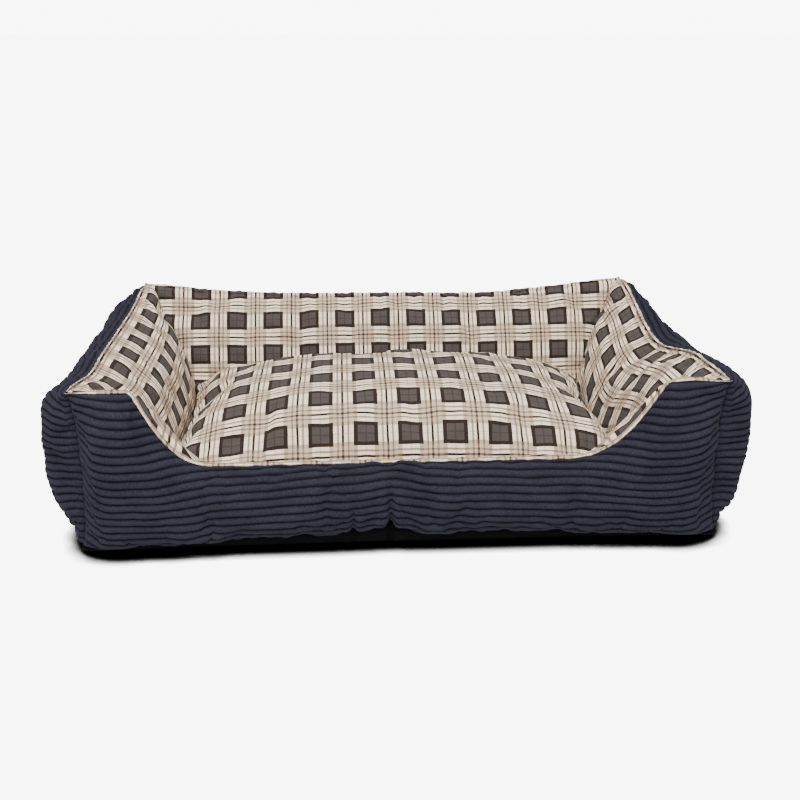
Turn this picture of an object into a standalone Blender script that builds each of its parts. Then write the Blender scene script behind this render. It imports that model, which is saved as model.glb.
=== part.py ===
"""Rectangular pet bed: four stuffed bolster walls on a padded base, with a loose cushion in the well.

Metres, +Z up, the low entrance faces -Y. The origin is on the floor, under the middle of the bed.
Every wall is a mitred length of one cross-section, given in (d, z): d is the distance inwards from the
upright plane of the top seam, so it is negative where the wall bulges out, and z is the height.
"""

from dataclasses import dataclass
from typing import Callable

import bmesh
import bpy

# Driving dimensions of the bolster walls
SEAM_X = 0.336  # half the width between the upright corner seams
SEAM_Y = 0.226  # half the depth between the upright corner seams
CORNER_TOP = 0.178  # height of the top seam at a corner
ENTRANCE_TOP = 0.097  # height of the top seam across the low entrance
ENTRANCE_LEFT = (-0.272, -0.190)  # x where the seam starts to drop and where it is level
ENTRANCE_RIGHT = (0.268, 0.165)
ENTRANCE_CURVE = 2.6  # how sharply the seam drops beside the corner posts
SAG_BACK = 0.020  # how far each full-height seam hangs below the corners
SAG_LEFT = 0.013
SAG_RIGHT = 0.008
FOLD_DEPTH = 0.029  # the dip in the right wall, with its place and half width along the wall from -1 to 1
FOLD_AT = 0.15
FOLD_REACH = 0.75
BULGE_SIDE = 0.043  # how far each wall swells outside its seam plane
BULGE_FRONT = 0.026
BULGE_BACK = 0.026
BULGE_SPREAD = 4.0  # how near to the corners the swell keeps its reach
BULGE_END_POWER = 0.6  # how roundly it falls off there
CORNER_BULGE = 0.002  # what is left of the swell beside a corner seam
BULGE_POWER_LOW = 6.0  # squareness of the swell below and above its middle
BULGE_POWER_HIGH = 2.6
FOOT_SIDE = 0.072  # how far each wall reaches inside its seam plane, at the base
FOOT_FRONT = 0.078
FOOT_BACK = 0.068
FOOT_POWER = 1.7  # squareness of the inside of a full-height wall
FOOT_POWER_FRONT = 1.2
MITRE_GAP = 0.0008  # clearance of a wall's end to the mitre plane
OUTER_TRIM = 0.0015  # how far each panel stops from the line of the top seam
LINING_TRIM = 0.006

# Fabrics and paddings
CORD_THICK = 0.0025
LINING_THICK = 0.0016
BASE_CLOTH_THICK = 0.0015
WADDING_THICK = 0.006
PLY_GAP = 0.0007  # clearance between two layers
FILLING_GAP = 0.0020  # clearance round the stuffing, inside its panels

# Heights of the layers of the base
BASE_RIM_TOP = 0.0065
WADDING_BOTTOM = BASE_CLOTH_THICK + PLY_GAP
FLOOR_CLOTH_BOTTOM = WADDING_BOTTOM + WADDING_THICK + PLY_GAP
FLOOR_TOP = FLOOR_CLOTH_BOTTOM + BASE_CLOTH_THICK
BASE_INSET = 0.014  # from the seam plane to the edge of the padding
TRAY = (  # depth inside the seam plane and height, up the outside of the base cloth and down its inside
    (0.012, 0.0),
    (0.004, 0.0022),
    (0.0, BASE_RIM_TOP),
    (BASE_CLOTH_THICK, BASE_RIM_TOP),
    (0.0052, 0.0038),
    (0.0125, BASE_CLOTH_THICK),
)

# Loose cushion
CUSHION_CLEAR = 0.0015  # all round, to the foot of the walls
CUSHION_SEAM_Z = 0.052
CUSHION_TOP = 0.118
CUSHION_BOTTOM = FLOOR_TOP + PLY_GAP
CUSHION_WAIST = 0.010  # how far each side pulls in between its corners
CUSHION_TOP_POWER = 2.6  # squareness of the crown, and of the flatter underside
CUSHION_BOTTOM_POWER = 7.0

# Mesh density
OUTER_POINTS = 9
INNER_POINTS = 7
CUSHION_STEPS_X = 12
CUSHION_STEPS_Y = 8
END_CROWDING = 0.35  # of the stations, towards the corners
EDGE_CROWDING = 0.5  # of the cushion's points, towards its rolled edges
SHARP_ANGLE = 0.8  # radians between two faces, above which their edge is shaded sharp


def crowded(i: int, steps: int, crowding: float) -> float:
    """The i-th share from -1 to 1, with the shares drawn together towards both ends."""
    share = 2.0 * i / steps - 1.0
    return (1.0 + crowding) * share - crowding * share**3


def smooth_step(low: float, high: float, value: float) -> float:
    """0 at low, 1 at high, and level at both ends."""
    share = min(1.0, max(0.0, (value - low) / (high - low)))
    return share * share * (3.0 - 2.0 * share)


def sag(depth: float, u: float) -> float:
    """How far a top seam hangs below the corners, for u from -1 to 1 along the wall."""
    return depth * (1.0 - abs(u) ** 3)


def drop(start: float, end: float, x: float) -> float:
    """0 before start and 1 past end, falling steeply at first and easing out."""
    share = min(1.0, max(0.0, (x - start) / (end - start)))
    return 1.0 - (1.0 - share) ** ENTRANCE_CURVE


def front_top(u: float) -> float:
    """Height of the top seam along the front, which drops to the entrance."""
    x = u * SEAM_X
    fall = min(drop(*ENTRANCE_LEFT, x), drop(*ENTRANCE_RIGHT, x))
    return CORNER_TOP - (CORNER_TOP - ENTRANCE_TOP) * fall


def back_top(u: float) -> float:
    """Height of the top seam along the back."""
    return CORNER_TOP - sag(SAG_BACK, u)


def left_top(u: float) -> float:
    """Height of the top seam along the left wall."""
    return CORNER_TOP - sag(SAG_LEFT, u)


def right_top(u: float) -> float:
    """Height of the top seam along the right wall, which folds down behind its middle."""
    fold = smooth_step(FOLD_REACH, 0.0, abs(u - FOLD_AT))
    return CORNER_TOP - sag(SAG_RIGHT, u) - FOLD_DEPTH * fold


@dataclass(frozen=True)
class Wall:
    """One bolster wall. place turns (u, d, z) into a point, u running from -1 to 1 along the wall."""

    name: str
    stations: int
    bulge: float
    foot: float
    foot_power: float
    top: Callable[[float], float]
    place: Callable[[float, float, float], tuple]


def along(half_length: float, u: float, d: float) -> float:
    """Distance along a wall of a point at share u and depth d, so that the ends follow the mitre."""
    return u * (half_length - d - MITRE_GAP)


def front_place(u: float, d: float, z: float) -> tuple:
    """A point of the front wall."""
    return along(SEAM_X, u, d), d - SEAM_Y, z


def back_place(u: float, d: float, z: float) -> tuple:
    """A point of the back wall."""
    return along(SEAM_X, u, d), SEAM_Y - d, z


def left_place(u: float, d: float, z: float) -> tuple:
    """A point of the left wall."""
    return d - SEAM_X, along(SEAM_Y, u, d), z


def right_place(u: float, d: float, z: float) -> tuple:
    """A point of the right wall."""
    return SEAM_X - d, along(SEAM_Y, u, d), z


WALLS = (
    Wall("front", 41, BULGE_FRONT, FOOT_FRONT, FOOT_POWER_FRONT, front_top, front_place),
    Wall("back", 21, BULGE_BACK, FOOT_BACK, FOOT_POWER, back_top, back_place),
    Wall("left", 17, BULGE_SIDE, FOOT_SIDE, FOOT_POWER, left_top, left_place),
    Wall("right", 17, BULGE_SIDE, FOOT_SIDE, FOOT_POWER, right_top, right_place),
)


def outer_profile(wall: Wall, u: float) -> list:
    """The outside of the wall's section, from the bottom seam up to the top seam."""
    top = wall.top(u)
    bottom = BASE_RIM_TOP + PLY_GAP
    reach = wall.bulge * (1.0 - abs(u) ** BULGE_SPREAD) ** BULGE_END_POWER + CORNER_BULGE
    points = []
    for i in range(OUTER_POINTS):
        side = 2.0 * i / (OUTER_POINTS - 1) - 1.0
        power = BULGE_POWER_LOW if side < 0.0 else BULGE_POWER_HIGH
        share = (1.0 - abs(side) ** power) ** 0.5
        points.append((-reach * share, bottom + (top - bottom) * (0.5 + 0.5 * side)))
    return points


def inner_profile(wall: Wall, u: float) -> list:
    """The inside of the wall's section, from the top seam down to the foot."""
    top = wall.top(u)
    bottom = FLOOR_TOP + PLY_GAP + LINING_THICK
    points = []
    for i in range(INNER_POINTS):
        height = 1.0 - i / (INNER_POINTS - 1)
        reach = wall.foot * (1.0 - height**wall.foot_power) ** (1.0 / wall.foot_power)
        points.append((reach, bottom + (top - bottom) * height))
    return points


def inset(points: list, distance: float) -> list:
    """The same line, moved to its right by distance, which is into the wall for both profiles."""
    moved = []
    for i, (d, z) in enumerate(points):
        before = points[max(i - 1, 0)]
        after = points[min(i + 1, len(points) - 1)]
        run, rise = after[0] - before[0], after[1] - before[1]
        length = (run * run + rise * rise) ** 0.5
        moved.append((d + rise / length * distance, z - run / length * distance))
    return moved


def fabric_section(profile: list, thickness: float) -> list:
    """A closed band: the profile, and back along its inset."""
    return profile + inset(profile, thickness)[::-1]


def toward(start: tuple, end: tuple, distance: float) -> tuple:
    """The point at a distance from start on the way to end."""
    run, rise = end[0] - start[0], end[1] - start[1]
    share = distance / (run * run + rise * rise) ** 0.5
    return start[0] + run * share, start[1] + rise * share


def outer_section(wall: Wall, u: float) -> list:
    """Section of the corduroy panel, which stops just short of the top seam."""
    points = outer_profile(wall, u)
    points[-1] = toward(points[-1], points[-2], OUTER_TRIM)
    return fabric_section(points, CORD_THICK)


def lining_section(wall: Wall, u: float) -> list:
    """Section of the lining panel, which starts just inside the top seam."""
    points = inner_profile(wall, u)
    points[0] = toward(points[0], points[1], LINING_TRIM)
    return fabric_section(points, LINING_THICK)


def filling_section(wall: Wall, u: float) -> list:
    """Section of the stuffing, which fills the bolster between its two panels and the base."""
    floor = FLOOR_TOP + PLY_GAP
    outside = inset(outer_profile(wall, u), CORD_THICK + FILLING_GAP)
    share = (floor - outside[0][1]) / (outside[1][1] - outside[0][1])
    corner = (outside[0][0] + (outside[1][0] - outside[0][0]) * share, floor)
    inside = inset(inner_profile(wall, u), LINING_THICK + FILLING_GAP)
    foot = (inside[-1][0], floor)
    return [corner] + outside[1:-1] + inside[2:-1] + [foot]


def material(name: str, color: tuple, roughness: float) -> bpy.types.Material:
    """A plain cloth material."""
    made = bpy.data.materials.new(name)
    made.use_nodes = True
    shader = made.node_tree.nodes["Principled BSDF"]
    shader.inputs["Base Color"].default_value = (*color, 1.0)
    shader.inputs["Roughness"].default_value = roughness
    shader.inputs["Metallic"].default_value = 0.0
    return made


def add_object(name: str, mesh: bmesh.types.BMesh, finish: bpy.types.Material) -> bpy.types.Object:
    """Turns the faces outwards, stores the mesh and puts it into the scene."""
    bmesh.ops.recalc_face_normals(mesh, faces=mesh.faces)
    if mesh.calc_volume(signed=True) < 0.0:
        bmesh.ops.reverse_faces(mesh, faces=mesh.faces)
    data = bpy.data.meshes.new(name)
    mesh.to_mesh(data)
    mesh.free()
    data.materials.append(finish)
    data.shade_smooth()
    data.set_sharp_from_angle(angle=SHARP_ANGLE)
    made = bpy.data.objects.new(name, data)
    bpy.context.scene.collection.objects.link(made)
    return made


def loft(name: str, loops: list, finish: bpy.types.Material) -> bpy.types.Object:
    """A closed solid through loops of equal length, with a face across the first and the last."""
    mesh = bmesh.new()
    rows = [[mesh.verts.new(point) for point in loop] for loop in loops]
    for row, following in zip(rows, rows[1:]):
        for i in range(len(row)):
            j = (i + 1) % len(row)
            split_face(mesh, row[i], row[j], following[j], following[i])
    for cap in (rows[0], rows[-1]):
        fill_cap(mesh, cap)
    return add_object(name, mesh, finish)


def split_face(mesh: bmesh.types.BMesh, a, b, c, d) -> None:
    """Two triangles for a quad, split from low to high, so that nested layers fold the same way."""
    if a.co.z <= b.co.z:
        mesh.faces.new((a, b, c))
        mesh.faces.new((a, c, d))
    else:
        mesh.faces.new((a, b, d))
        mesh.faces.new((b, c, d))


def fill_cap(mesh: bmesh.types.BMesh, loop: list) -> None:
    """Closes the end of a loft with triangles that follow the section, however it bends."""
    edges = [mesh.edges.get((a, b)) for a, b in zip(loop, loop[1:] + loop[:1])]
    bmesh.ops.triangle_fill(mesh, edges=edges, use_beauty=True)


def wall_solid(wall: Wall, suffix: str, section: Callable, finish: bpy.types.Material) -> bpy.types.Object:
    """Lofts one layer of a wall from end to end."""
    loops = []
    for i in range(wall.stations):
        u = crowded(i, wall.stations - 1, END_CROWDING)
        loops.append([wall.place(u, d, z) for d, z in section(wall, u)])
    return loft(f"{wall.name}_{suffix}", loops, finish)


def rectangle(d: float, z: float) -> list:
    """The four corners at depth d inside the seam planes, at height z."""
    x, y = SEAM_X - d, SEAM_Y - d
    return [(-x, -y, z), (x, -y, z), (x, y, z), (-x, y, z)]


def build_base(cloth: bpy.types.Material, wadding: bpy.types.Material, floor: bpy.types.Material) -> None:
    """The anti-slip underside, which turns up to the wall seam, the wadding and the floor cloth."""
    tray = [rectangle(d, z) for d, z in TRAY]
    loft("base_anti_slip_panel", tray, cloth)
    padding = [rectangle(BASE_INSET, WADDING_BOTTOM), rectangle(BASE_INSET, WADDING_BOTTOM + WADDING_THICK)]
    loft("base_wadding", padding, wadding)
    sheet = [rectangle(BASE_INSET, FLOOR_CLOTH_BOTTOM), rectangle(BASE_INSET, FLOOR_TOP)]
    loft("base_floor_cloth", sheet, floor)


def cushion_edge(u: float, v: float, shrink: float) -> tuple:
    """Plan position of share (u, v), each from -1 to 1, of a cushion whose sides pull in between its corners."""
    half_x = SEAM_X - FOOT_SIDE - CUSHION_CLEAR - shrink
    low_y = -SEAM_Y + FOOT_FRONT + CUSHION_CLEAR + shrink
    high_y = SEAM_Y - FOOT_BACK - CUSHION_CLEAR - shrink
    middle_y, half_y = (low_y + high_y) / 2, (high_y - low_y) / 2
    x = u * (half_x - CUSHION_WAIST * (1.0 - v * v) * abs(u))
    y = v * (half_y - CUSHION_WAIST * (1.0 - u * u) * abs(v))
    return x, middle_y + y


def swell(u: float, v: float, power: float) -> float:
    """1 over the middle of the cushion, falling to 0 at its edge."""
    return ((1.0 - abs(u) ** power) * (1.0 - abs(v) ** power)) ** 0.5


def cushion_surface(sign: int, shrink: float, seam_gap: float) -> list:
    """A grid of points over the top (sign 1) or the underside (sign -1) of the cushion."""
    reach = (CUSHION_TOP - CUSHION_SEAM_Z) if sign > 0 else (CUSHION_SEAM_Z - CUSHION_BOTTOM)
    power = CUSHION_TOP_POWER if sign > 0 else CUSHION_BOTTOM_POWER
    grid = []
    for i in range(CUSHION_STEPS_X + 1):
        u = crowded(i, CUSHION_STEPS_X, EDGE_CROWDING)
        row = []
        for j in range(CUSHION_STEPS_Y + 1):
            v = crowded(j, CUSHION_STEPS_Y, EDGE_CROWDING)
            rise = (reach - shrink - seam_gap) * swell(u, v, power)
            x, y = cushion_edge(u, v, shrink)
            row.append((x, y, CUSHION_SEAM_Z + sign * (seam_gap + rise)))
        grid.append(row)
    return grid


def closed_from_grids(name: str, first: list, second: list, finish: bpy.types.Material) -> bpy.types.Object:
    """A closed solid between two grids of the same size, joined round their rims."""
    mesh = bmesh.new()
    grids = [[[mesh.verts.new(point) for point in row] for row in grid] for grid in (first, second)]
    for grid in grids:
        for row, following in zip(grid, grid[1:]):
            for j in range(len(row) - 1):
                mesh.faces.new((row[j], row[j + 1], following[j + 1], following[j]))
    rims = [rim(grid) for grid in grids]
    count = len(rims[0])
    for i in range(count):
        j = (i + 1) % count
        mesh.faces.new((rims[0][i], rims[0][j], rims[1][j], rims[1][i]))
    return add_object(name, mesh, finish)


def rim(grid: list) -> list:
    """The outer ring of a grid, in order."""
    first, last = grid[0], grid[-1]
    return first[:-1] + [row[-1] for row in grid[:-1]] + last[:0:-1] + [row[0] for row in grid[:0:-1]]


def build_cushion(cover: bpy.types.Material, filling: bpy.types.Material, parent: bpy.types.Object) -> None:
    """The two covers of the loose cushion and the filling between them, all carried by one empty."""
    half_gap = PLY_GAP / 2
    depth = LINING_THICK + PLY_GAP
    pieces = []
    for name, sign in (("cushion_top_cover", 1), ("cushion_bottom_cover", -1)):
        skin = cushion_surface(sign, 0.0, half_gap)
        inside = cushion_surface(sign, LINING_THICK, half_gap)
        pieces.append(closed_from_grids(name, skin, inside, cover))
    upper = cushion_surface(1, depth, half_gap)
    lower = cushion_surface(-1, depth, half_gap)
    pieces.append(closed_from_grids("cushion_filling", upper, lower, filling))
    for piece in pieces:
        piece.parent = parent


def main() -> None:
    """Clears the scene and models every piece of the bed."""
    for old in list(bpy.data.objects):
        bpy.data.objects.remove(old)
    cord = material("navy_jumbo_cord", (0.030, 0.029, 0.050), 0.95)
    check = material("checked_cotton_twill", (0.52, 0.46, 0.41), 0.85)
    fibre = material("hollow_fibre", (0.85, 0.85, 0.83), 1.0)
    anti_slip = material("anti_slip_cloth", (0.010, 0.010, 0.011), 0.8)
    floor = material("polycotton_floor", (0.030, 0.029, 0.045), 0.9)
    for wall in WALLS:
        wall_solid(wall, "outer_panel", outer_section, cord)
        wall_solid(wall, "lining_panel", lining_section, check)
        wall_solid(wall, "bolster_filling", filling_section, fibre)
    build_base(anti_slip, fibre, floor)
    lift = bpy.data.objects.new("cushion_lift_axis", None)
    bpy.context.scene.collection.objects.link(lift)
    build_cushion(check, fibre, lift)


main()
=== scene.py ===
"""A rectangular pet bed: corduroy bolster walls, a checked lining and a loose cushion in the well."""

import logging
import math
from dataclasses import dataclass
from enum import Enum
from functools import partial
from typing import Callable

import bmesh
import bpy
import numpy as np
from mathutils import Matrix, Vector


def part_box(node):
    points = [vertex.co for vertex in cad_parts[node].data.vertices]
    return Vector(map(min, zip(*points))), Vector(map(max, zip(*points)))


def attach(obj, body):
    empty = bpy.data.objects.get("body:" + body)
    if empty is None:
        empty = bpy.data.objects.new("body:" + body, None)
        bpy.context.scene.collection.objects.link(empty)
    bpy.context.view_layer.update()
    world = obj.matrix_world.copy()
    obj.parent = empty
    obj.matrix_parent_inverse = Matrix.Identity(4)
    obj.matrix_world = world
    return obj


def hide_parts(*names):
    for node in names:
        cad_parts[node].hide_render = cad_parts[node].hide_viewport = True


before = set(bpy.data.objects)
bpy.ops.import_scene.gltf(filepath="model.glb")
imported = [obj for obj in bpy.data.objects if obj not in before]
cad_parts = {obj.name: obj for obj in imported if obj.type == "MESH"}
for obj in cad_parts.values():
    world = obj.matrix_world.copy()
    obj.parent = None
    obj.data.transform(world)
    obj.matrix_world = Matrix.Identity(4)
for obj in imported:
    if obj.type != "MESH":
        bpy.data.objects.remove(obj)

Array = np.ndarray
Material = bpy.types.Material
Object = bpy.types.Object
Tree = bpy.types.NodeTree

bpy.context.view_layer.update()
MM = 0.001
grid = partial(np.meshgrid, indexing="ij")
log = logging.getLogger("pet_bed")


# ---------------------------------------------------------------- small helpers


def rgb(code: str) -> tuple:
    """Turns a display colour into a linear one.

    Args:
        code: sRGB hex value, such as "#2e2d38".

    Returns:
        Linear red, green, blue and an alpha of 1.
    """
    parts = [int(code[i : i + 2], 16) / 255 for i in (1, 3, 5)]
    linear = [c / 12.92 if c <= 0.04045 else ((c + 0.055) / 1.055) ** 2.4 for c in parts]
    return (*linear, 1.0)


def ease(value: Array) -> Array:
    """Smooth step from 0 to 1 of a value that is clipped to that range."""
    t = np.clip(value, 0.0, 1.0)
    return t * t * (3.0 - 2.0 * t)


def hill(distance: Array, width: float) -> Array:
    """A bell curve, 1 where the distance is 0 and about a third where it is the width."""
    return np.exp(-((distance / width) ** 2))


def link(made: Object) -> Object:
    """Puts an object in the scene and hands it back."""
    bpy.context.scene.collection.objects.link(made)
    return made


def add_node(tree: Tree, kind: str, inputs: dict | None = None, **settings: object) -> bpy.types.Node:
    """Adds one node with its settings, its fixed inputs and its links.

    Args:
        tree: the node tree to add to.
        kind: the node's type name.
        inputs: input name or number to a fixed value, a socket, or a node whose first output feeds it.
        **settings: the node's own properties.

    Returns:
        The new node.
    """
    made = tree.nodes.new(kind)
    for key, value in settings.items():
        setattr(made, key, value)
    for key, value in (inputs or {}).items():
        feed = value.outputs[0] if isinstance(value, bpy.types.Node) else value
        if isinstance(feed, bpy.types.NodeSocket):
            tree.links.new(feed, made.inputs[key])
        else:
            made.inputs[key].default_value = feed
    return made


class Ripple:
    """A smooth, repeatable field of soft waves over two fabric coordinates, from about -1 to 1."""

    def __init__(self, seed: int, wavelength: float, stretch: float = 1.0, waves: int = 7) -> None:
        """Draws the waves.

        Args:
            seed: picks the field.
            wavelength: mean distance between crests along the first coordinate, in metres.
            stretch: how much longer the waves are along the second coordinate.
            waves: how many waves are added up.
        """
        draw = np.random.default_rng(seed)
        angle = draw.uniform(0.0, math.pi, waves)
        rate = 2.0 * math.pi / (wavelength * draw.uniform(0.65, 1.6, waves))
        phase = draw.uniform(0.0, 2.0 * math.pi, waves)
        size = draw.uniform(0.5, 1.0, waves)
        size /= math.sqrt((size**2).sum() / 2.0) * 1.6
        self.waves = list(zip(size, rate * np.cos(angle), rate * np.sin(angle) / stretch, phase))

    def __call__(self, a: Array, b: Array) -> Array:
        """Value of the field at each pair of coordinates, which are in metres."""
        return sum(size * np.sin(along * a + across * b + phase) for size, along, across, phase in self.waves)


class Patch:
    """A smooth surface through a grid of points, read with two shares from 0 to 1."""

    def __init__(self, points: Array) -> None:
        """Keeps the grid with one extra row all round, so that the ends stay straight.

        Args:
            points: the grid.
        """
        tall = np.concatenate([[2 * points[0] - points[1]], points, [2 * points[-1] - points[-2]]])
        low, high = 2 * tall[:, :1] - tall[:, 1:2], 2 * tall[:, -1:] - tall[:, -2:-1]
        self.grid = np.concatenate([low, tall, high], axis=1)
        self.spans = (points.shape[0] - 1, points.shape[1] - 1)

    @staticmethod
    def weights(share: Array, spans: int) -> tuple:
        """Cubic weights of the four nearest rows.

        Args:
            share: places from 0 to 1 along one axis.
            spans: number of spans along it.

        Returns:
            The first row's number in the padded grid, and four weights for each place.
        """
        place = np.clip(share, 0.0, 1.0) * spans
        start = np.minimum(place.astype(int), spans - 1)
        t = place - start
        spread = (
            -0.5 * t + t**2 - 0.5 * t**3,
            1 - 2.5 * t**2 + 1.5 * t**3,
            0.5 * t + 2 * t**2 - 1.5 * t**3,
            -0.5 * t**2 + 0.5 * t**3,
        )
        return start, spread

    def at(self, a: Array, b: Array) -> Array:
        """Points of the surface.

        Args:
            a: shares along the first axis.
            b: shares along the second axis, of the same shape.

        Returns:
            An array of that shape with three coordinates each.
        """
        start_a, spread_a = self.weights(a, self.spans[0])
        start_b, spread_b = self.weights(b, self.spans[1])
        total = np.zeros((*a.shape, 3))
        for i in range(4):
            for j in range(4):
                total += (spread_a[i] * spread_b[j])[..., None] * self.grid[start_a + i, start_b + j]
        return total

    def normal(self, a: Array, b: Array, step: float = 0.004) -> Array:
        """Unit normals of the surface.

        Args:
            a: shares along the first axis.
            b: shares along the second axis, of the same shape.
            step: how far apart the compared points are, as a share.

        Returns:
            Normals on the side from which the second axis turns left of the first.
        """
        along = self.at(a + step, b) - self.at(a - step, b)
        across = self.at(a, b + step) - self.at(a, b - step)
        cross = np.cross(along, across)
        return cross / np.maximum(np.linalg.norm(cross, axis=-1, keepdims=True), 1e-12)


def resample(line: Array, count: int) -> Array:
    """Points at equal distances along a polyline.

    Args:
        line: points, one to a row.
        count: how many points to return, both ends among them.

    Returns:
        The new points.
    """
    length = np.concatenate([[0.0], np.cumsum(np.linalg.norm(np.diff(line, axis=0), axis=1))])
    wanted = np.linspace(0.0, length[-1], count)
    return np.stack([np.interp(wanted, length, line[:, k]) for k in range(line.shape[1])], axis=1)


def chain_faces(left: list, right: list) -> list:
    """Faces between two columns of vertices that both run upwards and may differ in number.

    Args:
        left: vertex numbers of the left column, from the bottom.
        right: vertex numbers of the right column, from the bottom.

    Returns:
        Quads as far as both columns reach, then triangles.
    """
    shared = min(len(left), len(right)) - 1
    made = [(left[i], right[i], right[i + 1], left[i + 1]) for i in range(shared)]
    made += [(left[i], right[-1], left[i + 1]) for i in range(shared, len(left) - 1)]
    return made + [(left[-1], right[i], right[i + 1]) for i in range(shared, len(right) - 1)]


def tube_faces(count: int, around: int, capped: bool = False) -> list:
    """Faces between rings of points that follow each other.

    Args:
        count: number of rings.
        around: points in each ring.
        capped: whether both ends are closed.

    Returns:
        Vertex numbers of each face.
    """
    faces = []
    for i in range(0, (count - 1) * around, around):
        for j in range(around):
            k = (j + 1) % around
            faces.append((i + j, i + around + j, i + around + k, i + k))
    last = range(count * around - 1, (count - 1) * around - 1, -1)
    return faces + [tuple(range(around)), tuple(last)] if capped else faces


def mesh_piece(name: str, points: Array, faces: list, uv: Array | None, material: Material) -> Object:
    """Makes a smooth mesh object at the origin.

    Args:
        name: the piece's name.
        points: vertex places in metres.
        faces: vertex numbers of each face.
        uv: fabric coordinates of each vertex in metres, or None.
        material: what it is made of.

    Returns:
        The new object, linked to the scene.
    """
    mesh = bpy.data.meshes.new(name)
    mesh.from_pydata(np.asarray(points).tolist(), [], faces)
    if uv is not None:
        corner = np.zeros(len(mesh.loops), dtype=np.int32)
        mesh.loops.foreach_get("vertex_index", corner)
        layer = mesh.uv_layers.new(name="UVMap")
        layer.uv.foreach_set("vector", np.asarray(uv, dtype=np.float32)[corner].ravel())
    mesh.shade_smooth()
    mesh.materials.append(material)
    return link(bpy.data.objects.new(name, mesh))


@dataclass
class Skin:
    """One sheet of vertices in columns, from which a closed cloth shell is made."""

    columns: list
    points: Array
    inner: Array
    uv: Array

    @classmethod
    def grid(cls, points: Array, inner: Array, uv: Array, turn: tuple = (1, 1)) -> "Skin":
        """A sheet whose columns all have the same length.

        Args:
            points: a grid of places on the outer side.
            inner: the same on the inner side.
            uv: the same in fabric coordinates.
            turn: -1 for an axis of the grid that runs the other way.

        Returns:
            The sheet, with the second axis of the grid running up its columns.
        """
        numbers = np.arange(points.shape[0] * points.shape[1]).reshape(points.shape[:2])
        columns = numbers[:: turn[0], :: turn[1]].tolist()
        return cls(columns, points.reshape(-1, 3), inner.reshape(-1, 3), uv.reshape(-1, 2))

    def outline(self) -> list:
        """The sheet's edge.

        Returns:
            Its vertex numbers, anticlockwise seen from the outer side.
        """
        first, last = self.columns[0], self.columns[-1]
        bottom = [column[0] for column in self.columns]
        top = [column[-1] for column in self.columns]
        return bottom + last[1:] + top[-2::-1] + first[-2:0:-1]

    def piece(self, name: str, material: Material) -> Object:
        """Makes a closed piece with an outer face, an inner face and a rim.

        Args:
            name: the piece's name.
            material: what it is made of.

        Returns:
            The new object.
        """
        count = len(self.points)
        front = []
        for left, right in zip(self.columns, self.columns[1:]):
            front += chain_faces(left, right)
        back = [tuple(i + count for i in reversed(face)) for face in front]
        ring = self.outline()
        rim = [(a, a + count, b + count, b) for a, b in zip(ring, ring[1:] + ring[:1])]
        points = np.concatenate([self.points, self.inner])
        return mesh_piece(name, points, front + back + rim, np.concatenate([self.uv, self.uv]), material)


@dataclass(frozen=True)
class Stuffing:
    """How a stuffed form swells in the cloth simulation."""

    pressure: float = 3.0
    growth: float = 0.03  # extra cloth, as a share, which settles into soft wrinkles
    bending: float = 0.8
    cap: float = 6 * MM  # the furthest that a point may move
    frames: int = 18

    def swell(self, points: Array, faces: list, held: Array) -> Array:
        """Runs the cloth simulation on a mesh and returns its points afterwards.

        Args:
            points: vertex places in metres.
            faces: vertex numbers of each face, pointing outwards.
            held: from 0 for free cloth to 1 for cloth that is sewn fast.

        Returns:
            The vertex places once the cloth has settled, each within the cap of where it began.
        """
        body = mesh_piece("stuffing_run", points, faces, None, bpy.data.materials.new("stuffing_run"))
        group = body.vertex_groups.new(name="held")
        for i in np.nonzero(held > 0.0)[0]:
            group.add([int(i)], float(held[i]), "REPLACE")
        self.dress(body.modifiers.new("cloth", "CLOTH"))
        scene = bpy.context.scene
        for step in range(1, self.frames + 1):
            scene.frame_set(step)
        settled = body.evaluated_get(bpy.context.evaluated_depsgraph_get()).to_mesh()
        moved = np.zeros(len(points) * 3, dtype=np.float32)
        settled.vertices.foreach_get("co", moved)
        scene.frame_set(1)
        mesh = body.data
        bpy.data.objects.remove(body)
        bpy.data.meshes.remove(mesh)
        shift = moved.reshape(-1, 3).astype(float) - points
        length = np.linalg.norm(shift, axis=1, keepdims=True)
        return points + shift * (self.cap * np.tanh(length / self.cap) / np.maximum(length, 1e-9))

    def dress(self, cloth: bpy.types.ClothModifier) -> None:
        """Sets the cloth's weight, stiffness and pressure.

        Args:
            cloth: the modifier to set.
        """
        cloth.point_cache.frame_start = 1
        cloth.point_cache.frame_end = self.frames
        made = cloth.settings
        made.quality = 7
        made.mass = 0.25
        made.tension_stiffness = made.compression_stiffness = 18.0
        made.shear_stiffness = 6.0
        made.bending_stiffness = self.bending
        made.use_pressure = True
        made.uniform_pressure_force = self.pressure
        made.shrink_min = -self.growth
        made.vertex_group_mass = "held"
        made.effector_weights.gravity = 0.0
        cloth.collision_settings.use_collision = False


# ---------------------------------------------------------------- finishes


def blank_material(name: str, roughness: float, **inputs: object) -> tuple:
    """A new material with only its shader's fixed inputs set.

    Args:
        name: the material's name.
        roughness: of the shader.
        **inputs: other inputs of the shader, with _ for each space.

    Returns:
        The material, its shader node and a function that adds a node to it.
    """
    made = bpy.data.materials.new(name)
    made.use_nodes = True
    shader = made.node_tree.nodes["Principled BSDF"]
    shader.inputs["Roughness"].default_value = roughness
    for key, value in inputs.items():
        shader.inputs[key.replace("_", " ")].default_value = value
    return made, shader, partial(add_node, made.node_tree)


def fill_ramp(ramp: bpy.types.ColorRamp, stops: tuple) -> None:
    """Fills a colour ramp.

    Args:
        ramp: the ramp.
        stops: places in rising order, each with a hex value or a linear colour.
    """
    while len(ramp.elements) < len(stops):
        ramp.elements.new(1.0)
    for element, (place, colour) in zip(ramp.elements, stops):
        element.position = place
        element.color = rgb(colour) if isinstance(colour, str) else colour


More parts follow.
